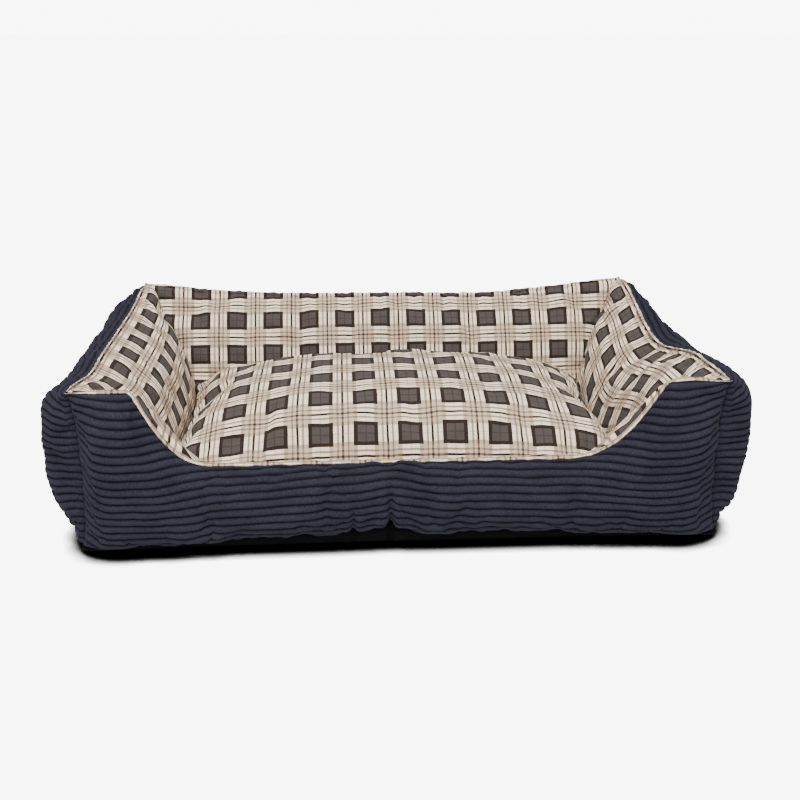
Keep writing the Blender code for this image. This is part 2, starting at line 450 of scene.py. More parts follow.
@dataclass(frozen=True)
class JumboCorduroy:
    """Cut-pile cotton corduroy with wide ribs: matt and soft, with painted shade between the ribs, a painted
    highlight on their tops and a dusty sheen.
    """

    wale: float = 8.7 * MM  # from rib to rib
    # Ridge, flank and groove paint light over each rib: the ridge is the cloth's colour lifted by a painted
    # highlight, and the flank and the groove are painted shade.
    ridge: str = "#27262f"
    flank_shade: str = "#1c1b24"
    groove: str = "#08070c"
    dust: str = "#a3a4bd"
    tuft: float = 1.3 * MM  # one row of cut pile, drawn a little coarse so that it shows
    nap: float = 0.6 * MM

    def material(self) -> Material:
        """Builds the pile's colour with painted shade and highlight over each rib, its nap and its dusty sheen.

        Returns:
            The material.
        """
        made, shader, node = blank_material(
            "navy_jumbo_corduroy",
            roughness=0.95,
            Sheen_Weight=0.04,
            Sheen_Roughness=0.6,
            Sheen_Tint=rgb(self.dust),
            Specular_IOR_Level=0.06,
        )
        cloth = node("ShaderNodeUVMap", uv_map="UVMap")
        split = node("ShaderNodeSeparateXYZ", {0: cloth})
        count = node("ShaderNodeMath", {0: split.outputs[1], 1: self.wale}, operation="DIVIDE")
        rib = node("ShaderNodeValToRGB", {0: node("ShaderNodeMath", {0: count}, operation="FRACT")})
        # Painted shade and highlight across each rib: darkest in the groove, lightest on the ridge.
        slope = ((0.0, self.groove), (0.12, self.flank_shade), (0.35, self.ridge))
        fill_ramp(rib.color_ramp, (*slope, (0.75, self.ridge), (0.9, self.flank_shade), (1.0, self.groove)))
        place = node("ShaderNodeTexCoord").outputs["Object"]
        worn = node("ShaderNodeTexNoise", {"Vector": place, "Scale": 28.0, "Detail": 4.0, "Roughness": 0.6})
        rows = node("ShaderNodeMapping", {0: cloth, 3: (1.0 / self.tuft, 0.45 / self.tuft, 1.0)})
        pile = node("ShaderNodeTexNoise", {"Vector": rows, "Scale": 1.0, "Detail": 3.0, "Roughness": 0.75})
        shade = node("ShaderNodeMapRange", {0: worn, 1: 0.3, 2: 0.7, 3: 0.80, 4: 1.18})
        speck = node("ShaderNodeMapRange", {0: pile, 1: 0.3, 2: 0.7, 3: 0.55, 4: 1.45})
        both = node("ShaderNodeMath", {0: shade, 1: speck}, operation="MULTIPLY")
        colour = node("ShaderNodeVectorMath", {0: rib, 3: both}, operation="SCALE")
        relief = node("ShaderNodeBump", {"Height": pile, "Strength": 0.55, "Distance": self.nap})
        made.node_tree.links.new(colour.outputs[0], shader.inputs["Base Color"])
        made.node_tree.links.new(relief.outputs[0], shader.inputs["Normal"])
        return made


@dataclass(frozen=True)
class CheckedCotton:
    """Plain-woven printed cotton: matt, with crisp bars of cream, taupe and grey brown."""

    repeat: float = 50 * MM  # of the check, both ways
    light: float = 0.443  # share of the repeat that is the light band
    cream: str = "#f5dfc4"
    square: str = "#47403c"
    border: str = "#2a201b"
    line: str = "#211914"
    thin: str = "#5a4b41"
    cross: str = "#c8b098"
    tan: str = "#705b46"
    drift: float = 0.8 * MM  # how far the bars wander, as woven ones do
    thread: float = 0.9 * MM  # one yarn, drawn a little coarse so that it shows
    relief: float = 0.12 * MM

    def bars(self) -> tuple:
        """Masks across one repeat.

        Returns:
            Where each bar starts, then the light band, its lines and the square's edge as red, green and blue.
        """
        band, rest = self.light, 1.0 - self.light
        edge, half = 0.155 * rest, 0.022 * rest
        centre = band + rest / 2
        lines = ((0.0, 0.0), (0.18, 0.7), (0.28, 0.0), (0.42, 1.0), (0.53, 0.0), (0.70, 0.7), (0.80, 0.0))
        square = ((band, 1.0), (band + edge, 0.0), (centre - half, 0.5), (centre + half, 0.0), (1.0 - edge, 1.0))
        return (
            *((place * band, (1.0, mask, 0.0, 1.0)) for place, mask in lines),
            *((place, (0.0, 0.0, mask, 1.0)) for place, mask in square),
        )

    def material(self) -> Material:
        """Returns:
            The material.
        """
        made, shader, node = blank_material(
            "checked_cotton", roughness=0.88, Sheen_Weight=0.03, Specular_IOR_Level=0.12
        )
        cloth = node("ShaderNodeUVMap", uv_map="UVMap")
        wander = node("ShaderNodeTexNoise", {"Vector": cloth, "Scale": 22.0, "Detail": 2.0}).outputs[1]
        centred = node("ShaderNodeVectorMath", {0: wander, 1: (0.5, 0.5, 0.5)}, operation="SUBTRACT")
        small = node("ShaderNodeVectorMath", {0: centred, 3: self.drift}, operation="SCALE")
        bent = node("ShaderNodeVectorMath", {0: cloth, 1: small}, operation="ADD")
        masks = []
        for coordinate in node("ShaderNodeSeparateXYZ", {0: bent}).outputs[:2]:
            count = node("ShaderNodeMath", {0: coordinate, 1: self.repeat}, operation="DIVIDE")
            ramp = node("ShaderNodeValToRGB", {0: node("ShaderNodeMath", {0: count}, operation="FRACT")})
            ramp.color_ramp.interpolation = "CONSTANT"
            fill_ramp(ramp.color_ramp, self.bars())
            masks.append(node("ShaderNodeSeparateColor", {0: ramp}).outputs)
        (band_x, line_x, edge_x), (band_y, line_y, edge_y) = masks
        edges = node("ShaderNodeMath", {0: edge_x, 1: edge_y}, operation="MAXIMUM")
        tan_x = node("ShaderNodeMath", {0: edge_x, 1: 0.6}, operation="MULTIPLY")
        tan_y = node("ShaderNodeMath", {0: edge_y, 1: 0.6}, operation="MULTIPLY")
        grid = node("ShaderNodeMath", {0: line_x, 1: line_y}, operation="MAXIMUM")
        grid = node("ShaderNodeMath", {0: grid, 1: 0.85}, operation="MULTIPLY")
        knots = node("ShaderNodeMath", {0: line_x, 1: line_y}, operation="MULTIPLY")
        knots = node("ShaderNodeMath", {0: knots, 1: 0.9}, operation="MULTIPLY")
        names = ("cream", "square", "border", "line", "thin", "cross", "tan")
        paint = {name: rgb(getattr(self, name)) for name in names}
        for name, share, first, second in (
            ("dark", edges, "square", "border"),
            ("warp", line_x, "cream", "line"),
            ("warp", tan_y, "warp", "tan"),
            ("weft", line_y, "cream", "line"),
            ("weft", tan_x, "weft", "tan"),
            ("crossing", grid, "cross", "thin"),
            ("crossing", knots, "crossing", "line"),
            ("low", band_x, "dark", "warp"),
            ("high", band_x, "weft", "crossing"),
            ("print", band_y, "low", "high"),
        ):
            mixed = node("ShaderNodeMix", {0: share, 6: paint[first], 7: paint[second]}, data_type="RGBA")
            paint[name] = mixed.outputs[2]
        checks = node("ShaderNodeVectorMath", {0: cloth, 3: math.pi / self.thread}, operation="SCALE")
        waves = node("ShaderNodeSeparateXYZ", {0: node("ShaderNodeVectorMath", {0: checks}, operation="SINE")})
        height = node("ShaderNodeMath", {0: waves.outputs[0], 1: waves.outputs[1]}, operation="MULTIPLY")
        slub = node("ShaderNodeTexNoise", {"Vector": cloth, "Scale": 900.0, "Detail": 3.0})
        shade = node("ShaderNodeMapRange", {0: slub, 1: 0.3, 2: 0.7, 3: 0.86, 4: 1.10})
        # Painted shade in the weave: a little darker where the threads dip and lighter on their crowns.
        weave_shade = node("ShaderNodeMapRange", {0: height, 1: -1.0, 2: 1.0, 3: 0.97, 4: 1.03})
        both = node("ShaderNodeMath", {0: shade, 1: weave_shade}, operation="MULTIPLY")
        colour = node("ShaderNodeVectorMath", {0: paint["print"], 3: both}, operation="SCALE")
        total = node("ShaderNodeMath", {0: height, 1: slub}, operation="ADD")
        relief = node("ShaderNodeBump", {"Height": total, "Strength": 0.35, "Distance": self.relief})
        made.node_tree.links.new(colour.outputs[0], shader.inputs["Base Color"])
        made.node_tree.links.new(relief.outputs[0], shader.inputs["Normal"])
        return made


@dataclass(frozen=True)
class SpeckledCloth:
    """A plain cloth of one colour, with a woven or matted grain."""

    name: str
    dark: str
    pale: str
    grain: float  # of the mottling, in metres
    roughness: float = 0.9
    relief: float = 0.15 * MM
    gloss: float = 0.04

    def material(self) -> Material:
        """Builds a mottled colour with a grain of its own.

        Returns:
            The material.
        """
        made, shader, node = blank_material(self.name, self.roughness, Specular_IOR_Level=self.gloss)
        place = node("ShaderNodeTexCoord").outputs["Object"]
        mottle = node("ShaderNodeTexNoise", {"Vector": place, "Scale": 1.0 / self.grain, "Detail": 5.0})
        ramp = node("ShaderNodeValToRGB", {0: mottle})
        fill_ramp(ramp.color_ramp, ((0.35, self.dark), (0.65, self.pale)))
        bump = node("ShaderNodeBump", {"Height": mottle, "Strength": 0.6, "Distance": self.relief})
        made.node_tree.links.new(ramp.outputs[0], shader.inputs["Base Color"])
        made.node_tree.links.new(bump.outputs[0], shader.inputs["Normal"])
        return made


@dataclass(frozen=True)
class Finishes:
    """Every material of the bed, each made once."""

    corduroy: Material
    check: Material
    fibre: Material
    anti_slip: Material
    rubber: Material
    floor_cloth: Material

    @classmethod
    def make(cls) -> "Finishes":
        """Builds all the materials.

        Returns:
            The set of them.
        """
        return cls(
            corduroy=JumboCorduroy().material(),
            check=CheckedCotton().material(),
            # Carded polyester: white, matt and fluffy.
            fibre=SpeckledCloth("hollow_polyester_fibre", "#cfcfcc", "#f4f4f2", 4 * MM, 1.0, 1.2 * MM).material(),
            # Black woven polyester with a dry hand.
            anti_slip=SpeckledCloth("black_anti_slip_cloth", "#050505", "#0d0d0e", 1.2 * MM, 0.85).material(),
            # Moulded dots of soft black PVC, a little glossier than the cloth.
            rubber=SpeckledCloth("soft_black_pvc_dots", "#0b0b0c", "#131315", 3 * MM, 0.5, 0.05 * MM, 0.3).material(),
            # Thin dark polycotton, plain and matt.
            floor_cloth=SpeckledCloth("dark_polycotton", "#26262f", "#373743", 1.0 * MM, 0.92).material(),
        )


# ---------------------------------------------------------------- the bolster walls


def sag(u: float) -> float:
    """How slack a seam is at a place from -1 to 1: 0 at its ends and 1 in its middle."""
    return 1.0 - abs(u) ** 3


class Side(Enum):
    """The four walls, each with how many quarter turns it is from the front."""

    FRONT = 0
    RIGHT = 1
    BACK = 2
    LEFT = 3


@dataclass(frozen=True)
class Plan:
    """The bed's seams, read from the frame."""

    seam_x: float
    seam_y: float
    base_top: float
    floor_top: float
    corner_top: float

    @classmethod
    def read(cls) -> "Plan":
        """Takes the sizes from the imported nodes.

        Returns:
            The plan.
        """
        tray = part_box("base_anti_slip_panel")[1]
        floor_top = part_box("base_floor_cloth")[1][2]
        return cls(*tray, floor_top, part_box("front_outer_panel")[1][2] + 1.2 * MM)


@dataclass(frozen=True)
class PinchFold:
    """A short upright fold in the front, pulled in by the base seam."""

    s: float
    depth: float
    width: float
    height: float
    lift: float
    reach: float = 26 * MM  # of the lift, along the seam

    def depth_at(self, s: Array, v: Array) -> Array:
        """How far the fold moves the cloth outwards, which is inwards in its groove.

        Args:
            s: distances along the wall.
            v: heights on the cloth.

        Returns:
            Distances outwards, in metres.
        """
        fade = ease((self.height - v) / (0.6 * self.height))
        groove = hill(s - self.s, self.width) * self.depth
        lips = hill(np.abs(s - self.s) - 2.6 * self.width, 1.6 * self.width) * self.depth * 0.22
        return (lips - groove) * fade


@dataclass
class Bolster:
    """One stuffed wall: a corduroy panel outside, a checked panel inside and loose fibre between them.

    A point of it is given by s, the distance along the wall, out, the distance outwards from the plane of
    its top seam, and z, the height. A place along it is also given as u, from -1 to 1.
    """

    side: Side
    plan: Plan
    top_line: Callable
    bulge: float
    foot: float
    roundness: float  # of the inside of the wall
    seed: int
    lean: float = 1.0  # below 1 where the swell sits low, as on the front
    check_phase: tuple = (0.0, 0.0)
    full_cut: float = 200 * MM  # height of the corduroy before sewing
    ease_in: float = 1.04  # how much taller than its section the front's corduroy is cut
    corner_round: float = 66 * MM
    crease: float = 8 * MM  # how far the corner seam is drawn in
    slack: float = 5 * MM  # how much higher the bottom seam lies away from its ends
    tuck: float = 0.0  # how far the bottom seam is pushed outwards
    puff: float = 0.0  # how far the corduroy stands up beside a slack top seam, as a share of the slack
    bow: float = 0.0  # how far the top seam is drawn inwards in its middle
    hind: float = 1.0  # share of the swell towards the wall's far end
    level: float = 0.0  # 0 where the check runs along the top seam, 1 where it runs level
    lumps: float = 1.0  # how uneven the lining is
    squareness: tuple = (3.6, 2.5)  # of the swell, below and above its middle
    dips: tuple = ()  # where the ribs hang lower, as (s, reach, depth)
    folds: tuple = ()
    stuffing: Stuffing = Stuffing()
    samples: int = 61  # of a section, before it is divided evenly
    outer_rings: int = 20
    lining_rings: int = 18
    base_rings: int = 5
    section_step: float = 8.5 * MM
    cloth: float = 1.6 * MM
    rib: float = 2.3 * MM  # depth of the corduroy's ribs
    wale: float = JumboCorduroy.wale
    column_step: float = 3.2 * MM
    lining_step: float = 3.0 * MM
    roll: float = 2.5 * MM  # radius of the lining's folded edge
    inset: float = 13 * MM  # from the cloth to the fibre

    def __post_init__(self) -> None:
        """Works out the wall's length and the places of its sections, which are closer where it turns."""
        ends = (self.plan.seam_x, self.plan.seam_y)
        self.half, self.reach = ends if self.side in (Side.FRONT, Side.BACK) else ends[::-1]
        self.name = self.side.name.lower()
        fine = np.linspace(-1.0, 1.0, 2001)
        density = 1.0 + 1.6 * hill((1.0 - np.abs(fine)) * self.half, 0.045)
        if self.side is Side.FRONT:
            density += 2.2 * hill(np.abs(fine) * self.half - 0.235, 0.04)
        total = np.concatenate([[0.0], np.cumsum((density[1:] + density[:-1]) / 2)])
        self.table = (fine, total / total[-1])
        count = int(round(self.half * 2 / self.section_step * total[-1] / 2000)) + 1
        self.stations = np.interp(np.linspace(0, 1, count), self.table[1], fine)

    def share_of(self, s: Array) -> Array:
        """Share along the grid of sections at each distance along the wall."""
        return np.interp(s / self.half, *self.table)

    def place(self, s: Array, out: Array, z: Array) -> Array:
        """Turns wall coordinates into points.

        Args:
            s: distances along the wall.
            out: distances outwards.
            z: heights.

        Returns:
            An array of their common shape with three coordinates each.
        """
        x, y, z = np.broadcast_arrays(s, -self.reach - out, z)
        turned = ((x, y), (-y, x), (-x, -y), (y, -x))[self.side.value]
        return np.stack([*turned, z], axis=-1)

    def top(self, u: float) -> float:
        """Height of the top seam."""
        return self.top_line(u * self.half)

    def bottom(self, u: float) -> float:
        """Height of the bottom seam, which pinched folds lift."""
        lifts = [fold.lift * hill(u * self.half - fold.s, fold.reach) for fold in self.folds]
        return self.plan.base_top + 0.5 * MM + self.slack * sag(u) + sum(lifts)

    def foot_out(self, u: float) -> float:
        """How far outwards the bottom seam lies, which pinched folds draw in."""
        drawn = [float(fold.depth_at(u * self.half, 0.0)) for fold in self.folds]
        return 1.15 * self.tuck * self.fullness(u) + sum(drawn)

    def fullness(self, u: float) -> float:
        """0 at a corner seam and 1 where the wall has its whole swell."""
        near = min(1.0, (1.0 - abs(u)) * self.half / self.corner_round)
        return (1.0 - (1.0 - near) ** 2.2) ** 0.62

    def outer_line(self, u: float) -> Array:
        """The corduroy's section from the bottom seam to the top seam.

        Args:
            u: place along the wall.

        Returns:
            Rows of out, z and how far the wall's ends are drawn in.
        """
        t = np.linspace(0.0, 1.0, self.samples)
        skew = t**self.lean
        power = np.where(skew < 0.5, *self.squareness)
        bulge = self.bulge * (1.0 - (1.0 - self.hind) * float(ease(u / 0.6)))
        swell = bulge * np.sqrt(1.0 - np.abs(2.0 * skew - 1.0) ** power) - self.bow * sag(u) * t**2
        swell = np.maximum(swell, self.tuck * (1.0 - t)) + 0.15 * self.tuck * (1.0 - t) ** 3
        drawn = 1.6 * self.crease * (1.0 - t) ** 0.4 * t**0.5 * (1.0 - self.fullness(u))
        low, high = self.bottom(u), self.top(u)
        crown = self.puff * (self.plan.corner_top - high) * 5.3 * t**5 * np.sqrt(1.0 - t)
        line = np.stack([self.fullness(u) * swell - drawn, low + (high - low) * t + crown, drawn], axis=1)
        return resample(line, self.outer_rings + 1)

    def lining_line(self, u: float) -> Array:
        """The lining's section from the top seam down to the foot.

        Args:
            u: place along the wall.

        Returns:
            Rows of out, z and how far the wall's ends are mitred.
        """
        t = np.linspace(0.0, 1.0, self.samples)
        angle = t * math.pi / 2
        depth = self.foot * np.sin(angle) ** (2.0 / self.roundness)
        height = np.cos(angle) ** (2.0 / self.roundness)
        drawn = 3.5 * MM * ease(t / 0.12) * (1.0 - t) - 13 * MM * np.sin(math.pi * t) ** 2.5
        depth = depth + (1.0 - self.fullness(u)) * drawn
        low, high = self.plan.floor_top + 1.5 * MM, self.top(u)
        line = np.stack([-depth - self.bow * sag(u) * height, low + (high - low) * height, depth], axis=1)
        return resample(line, self.lining_rings + 1)

    def ring(self, u: float) -> Array:
        """The whole section: up the corduroy, down the lining and back along the base.

        Args:
            u: place along the wall.

        Returns:
            Its points.
        """
        outer, lining = self.outer_line(u), self.lining_line(u)
        share = np.linspace(0.0, 1.0, self.base_rings + 1)[1:-1, None]
        under = lining[-1] * (1.0 - share) + outer[0] * share
        line = np.concatenate([outer, lining[1:], under])
        return self.place(u * (self.half - line[:, 2]), line[:, 0], line[:, 1])

    def stuff(self) -> None:
        """Builds the wall's tube, swells it in a cloth simulation and keeps its two surfaces."""
        rings = np.array([self.ring(u) for u in self.stations])
        top, foot = self.outer_rings, self.outer_rings + self.lining_rings
        held = np.zeros(rings.shape[:2])
        held[[0, -1]] = held[:, [0, top]] = held[:, foot:] = 1.0
        moved = self.stuffing.swell(rings.reshape(-1, 3), tube_faces(*held.shape), held.ravel())
        self.rings = moved.reshape(rings.shape)
        self.outer, self.lining = Patch(self.rings[:, : top + 1]), Patch(self.rings[:, top : foot + 1])

    def cut(self, s: Array) -> Array:
        """Height of the corduroy before sewing.

        Args:
            s: distances along the wall.

        Returns:
            Its height at each of them.
        """
        if self.side is not Side.FRONT:
            return np.full_like(s, self.full_cut)
        lengths = [np.linalg.norm(np.diff(self.outer_line(u), axis=0), axis=1).sum() for u in self.stations]
        return np.interp(s, self.half * self.stations, lengths) * self.ease_in

    def column_places(self) -> Array:
        """Where the corduroy's columns stand, closer at the shoulders and the folds of the front.

        Returns:
            Distances along the wall, in rising order.
        """
        lines = np.linspace(-self.half, self.half, int(round(2 * self.half / self.column_step)) + 1)
        if self.side is not Side.FRONT:
            return lines
        shoulder, folds = np.linspace(0.155, 0.275, 61), np.linspace(-0.075, 0.010, 69)
        clear = (np.abs(np.abs(lines) - 0.215) > 0.06) & (np.abs(lines + 0.0325) > 0.0435)
        return np.unique(np.concatenate([lines[clear], shoulder, -shoulder, folds]))

    def outer_panel(self, material: Material) -> Object:
        """The corduroy panel, with its ribs running along the wall and trimmed off at the top seam.

        Args:
            material: what it is made of.

        Returns:
            The new object.
        """
        step = self.wale / 8
        columns, s_list, v_list = [], [], []
        lines = self.column_places()
        for s, limit in zip(lines, self.cut(lines)):
            rows = np.arange(0.0, limit - 0.35 * step, step)
            columns.append(list(range(len(s_list), len(s_list) + len(rows) + 1)))
            s_list += [s] * (len(rows) + 1)
            v_list += [*rows, limit]
        s, v = np.array(s_list), np.array(v_list)
        full = self.cut(s)
        a, q = self.share_of(s), v / full
        hem, corner = np.minimum(q, 1.0 - q) * full, self.half - np.abs(s)
        edge = np.minimum(hem, corner)
        wander = Ripple(self.seed + 1, 0.11, 2.0)(s, v) * 0.010 * ease(edge / 0.03)
        wander += self.sway(s, v) * np.sin(math.pi * np.clip(q, 0.0, 1.0)) ** 0.7 / full
        base, normal = self.outer.at(a, q + wander), self.outer.normal(a, q + wander)
        # The panel dives into its seams, and closes up with its neighbour at the corners.
        pinch = 1.5 * MM * np.exp(-hem / (2.2 * MM)) - 0.5 * MM * np.exp(-corner / (1.5 * MM)) * ease(hem / 0.008)
        lift = self.relief(s, v, edge) - pinch
        rib = (1.0 - np.abs(2.0 * (v / self.wale % 1.0) - 1.0) ** 2.6) * self.rib
        rib *= 1.0 + 0.14 * Ripple(self.seed + 2, 0.03)(s, v)
        points = base + normal * (lift + rib * ease(edge / (5 * MM)))[:, None]
        inner = base + normal * (lift - self.cloth)[:, None]
        return Skin(columns, points, inner, np.stack([s, v], axis=1)).piece(f"{self.name}_corduroy", material)

    def sway(self, s: Array, v: Array) -> Array:
        """How far the ribs ride up towards the corner seams and hang down beside them.

        Args:
            s: distances along the wall.
            v: heights on the cloth.

        Returns:
            Distances upwards, in metres.
        """
        rise = 14 * MM * np.exp(-(self.half - np.abs(s)) / 0.020) * (0.35 + 0.65 * v / self.full_cut)
        for middle, reach, depth in self.dips:
            rise -= depth * hill(s - middle, reach)
        return rise

    def relief(self, s: Array, v: Array, edge: Array) -> Array:
        """How far the corduroy stands off its smooth form: soft lumps, gathers and folds.

        Args:
            s: distances along the wall.
            v: heights on the cloth.
            edge: distances from the nearest seam.

        Returns:
            Distances outwards, in metres.
        """
        lumps = Ripple(self.seed + 3, 0.075)(s, v) * 1.6 * MM + Ripple(self.seed + 4, 0.028)(s, v) * 0.45 * MM
        gathers = Ripple(self.seed + 5, 0.017, 3.0)(s, v) * 0.6 * MM * np.exp(-edge / 0.014)
        lift = lumps * ease(edge / 0.03) + gathers * ease(edge / 0.004)
        for fold in self.folds:
            lift += fold.depth_at(s, v)
        return lift

    def lining_panel(self, material: Material) -> Object:
        """The checked panel, with its folded edge rolled over the top seam.

        Args:
            material: what it is made of.

        Returns:
            The new object.
        """
        longest = self.own_length(np.array([0.02, 0.5, 0.98])).max()
        count, rows = (int(round(size / self.lining_step)) + 1 for size in (2 * self.half, longest))
        s, q = grid(np.linspace(-self.half, self.half, count), np.linspace(0.0, 1.0, rows) ** 0.9)
        a = self.share_of(s)
        own = self.own_length(a[:, 0])[:, None]
        v = -q * own - self.level * (own.max() - own)
        edge = np.minimum(np.minimum(q, 1.0 - q) * own, self.half - np.abs(s))
        lift = Ripple(self.seed + 6, 0.06)(s, v) * 1.5 * MM * ease(edge / 0.03)
        lift += Ripple(self.seed + 7, 0.022)(s, v) * 0.5 * MM * ease(edge / 0.01)
        lift *= self.lumps
        lift += Ripple(self.seed + 8, 0.015, 4.0)(s, v) * 0.6 * MM * np.exp(-q * own / 0.02) * ease(edge / 0.004)
        base, normal = self.lining.at(a, q), self.lining.normal(a, q)
        points, inner = base + normal * lift[..., None], base + normal * (lift[..., None] - self.cloth)
        roll, lap = self.rolled_edge(s[:, 0], a[:, 0])
        points = np.concatenate([roll, points[:, 1:]], axis=1)
        inner = np.concatenate([roll + (base[:, :1] - roll) * 0.55, inner[:, 1:]], axis=1)
        v = np.concatenate([lap + v[:, :1], v[:, 1:]], axis=1)
        along = self.place(1.0, 0.0, 0.0) - self.place(0.0, 0.0, 0.0)
        uv = np.stack([points @ along + self.check_phase[0], v + self.check_phase[1]], axis=-1)
        # Columns run from the foot up, so that the shell's outer side faces the well.
        return Skin.grid(points, inner, uv, (-1, -1)).piece(f"{self.name}_lining", material)

    def own_length(self, a: Array) -> Array:
        """Length of the lining's section.

        Args:
            a: shares along the wall.

        Returns:
            The length at each of them, in metres.
        """
        line = self.lining.at(*grid(a, np.linspace(0.0, 1.0, 41)))
        return np.linalg.norm(np.diff(line, axis=1), axis=2).sum(axis=1)

    def rolled_edge(self, s: Array, a: Array) -> tuple:
        """The lining's folded edge, a small puckered roll that laps over the top seam.

        Args:
            s: distances along the wall.
            a: the same places as shares of the grid.

        Returns:
            The roll's points, from outside the seam to its inner side, and their heights on the cloth.
        """
        turns = np.linspace(-0.62, 0.60, 8) * math.pi
        behind, centre, ahead = (self.lining.at(a + step, 0 * a) for step in (-0.004, 0.0, 0.004))
        tangent = (ahead - behind) / np.linalg.norm(ahead - behind, axis=1, keepdims=True)
        outward = self.place(0.0, 1.0, 0.0) - self.place(0.0, 0.0, 0.0)
        upward = np.cross(tangent, np.broadcast_to(outward, tangent.shape)) * -1.0
        upward *= np.sign(upward[:, 2:3])
        ends = ease((self.half - np.abs(s)) / 0.035)
        radius = self.roll * (1.0 + 0.26 * Ripple(self.seed + 9, 0.014)(s, 0 * s)) * (0.06 + 0.94 * ends)
        ways = [-math.sin(turn) * outward[None, :] + math.cos(turn) * upward for turn in turns]
        return np.stack([centre + way * radius[:, None] for way in ways], axis=1), 2.3 * MM * (turns[-1] - turns)

    def filling(self, material: Material) -> Object:
        """The loose fibre, which fills the wall just inside its two panels.

        Args:
            material: what it is made of.

        Returns:
            The new object.
        """
        middle = self.rings.mean(axis=1, keepdims=True)
        spread = self.rings - middle
        size = np.linalg.norm(spread, axis=2, keepdims=True)
        inside = middle + spread * np.maximum(size - self.inset, 2 * MM) / np.maximum(size, 1e-6)
        kept = inside[4:-4]
        faces = tube_faces(*kept.shape[:2], capped=True)
        return mesh_piece(f"{self.name}_fibre", kept.reshape(-1, 3), faces, None, material)


def entrance_fall(s: float) -> float:
    """How far the top seam has come down from the corner posts to the low entrance.

    Args:
        s: distance along the front.

    Returns:
        0 over the posts and 1 along the entrance, rounded at the shoulder and easing out.
    """
    total = []
    for distance, reach in ((s + 0.275, 0.085), (0.272 - s, 0.107)):
        share = np.clip(distance / reach, 0.0, 1.0)
        share = 1.07 * share**2 / (share + 0.07)
        total.append(1.0 - (1.0 - share) ** 2.6)
    return min(total)


def make_bolsters(plan: Plan) -> list:
    """The four walls with their own top seams.

    Args:
        plan: the bed's seams.

    Returns:
        The walls, from the front anticlockwise seen from above.
    """
    crest, low = plan.corner_top, 97 * MM
    half_x, half_y = plan.seam_x, plan.seam_y

    def front(s: float) -> float:
        """Level over the left post and puffed up over the right one, then down to the entrance."""
        puff = 4 * MM * hill(s - 0.298, 0.022) * (1 - abs(s / half_x) ** 8)
        return float(crest + puff - (crest - low) * entrance_fall(s))

    def back(s: float) -> float:
        """Slack in the middle, and lowest left of it seen from the front."""
        u = -s / half_x
        return crest - 20 * MM * sag(u) - 3 * MM * hill(u - 0.4, 0.2)

    def left(s: float) -> float:
        """Slightly slack, with a dip near its front end."""
        u = -s / half_y
        return crest - 15 * MM * sag(u) - 5 * MM * hill(u + 0.5, 0.2)

    def right(s: float) -> float:
        """Folded down behind its middle."""
        u = s / half_y
        return crest - 8 * MM * sag(u) - 29 * MM * float(ease(1.0 - abs(u - 0.15) / 0.75))

    front_look = {
        "lean": 0.74,
        "tuck": 8 * MM,
        "slack": 14 * MM,
        "dips": ((-0.265, 0.055, 7 * MM), (0.26, 0.06, 3 * MM)),
        "folds": (
            PinchFold(s=-0.053, depth=4.0 * MM, width=3.0 * MM, height=66 * MM, lift=2 * MM),
            PinchFold(s=-0.0145, depth=6.5 * MM, width=3.4 * MM, height=84 * MM, lift=7 * MM),
        ),
        "stuffing": Stuffing(cap=4 * MM),
    }
    side_look = {"squareness": (2.4, 5.0), "puff": 0.45, "lumps": 0.65}
    right_look = {"check_phase": (0.01, 0.009), "corner_round": 85 * MM, "hind": 0.7, **side_look}
    back_look = {"check_phase": (0.028, 0.003), "level": 0.75}
    left_look = {"check_phase": (0.02, 0.008), "corner_round": 105 * MM, "bow": 8 * MM, **side_look}
    return [
        Bolster(Side.FRONT, plan, front, bulge=25 * MM, foot=78 * MM, roundness=1.25, seed=10, **front_look),
        Bolster(Side.RIGHT, plan, right, bulge=42 * MM, foot=73 * MM, roundness=1.65, seed=30, **right_look),
        Bolster(Side.BACK, plan, back, bulge=27 * MM, foot=67 * MM, roundness=1.4, seed=50, **back_look),
        Bolster(Side.LEFT, plan, left, bulge=45 * MM, foot=73 * MM, roundness=1.65, seed=70, **left_look),
    ]


# ---------------------------------------------------------------- the loose cushion


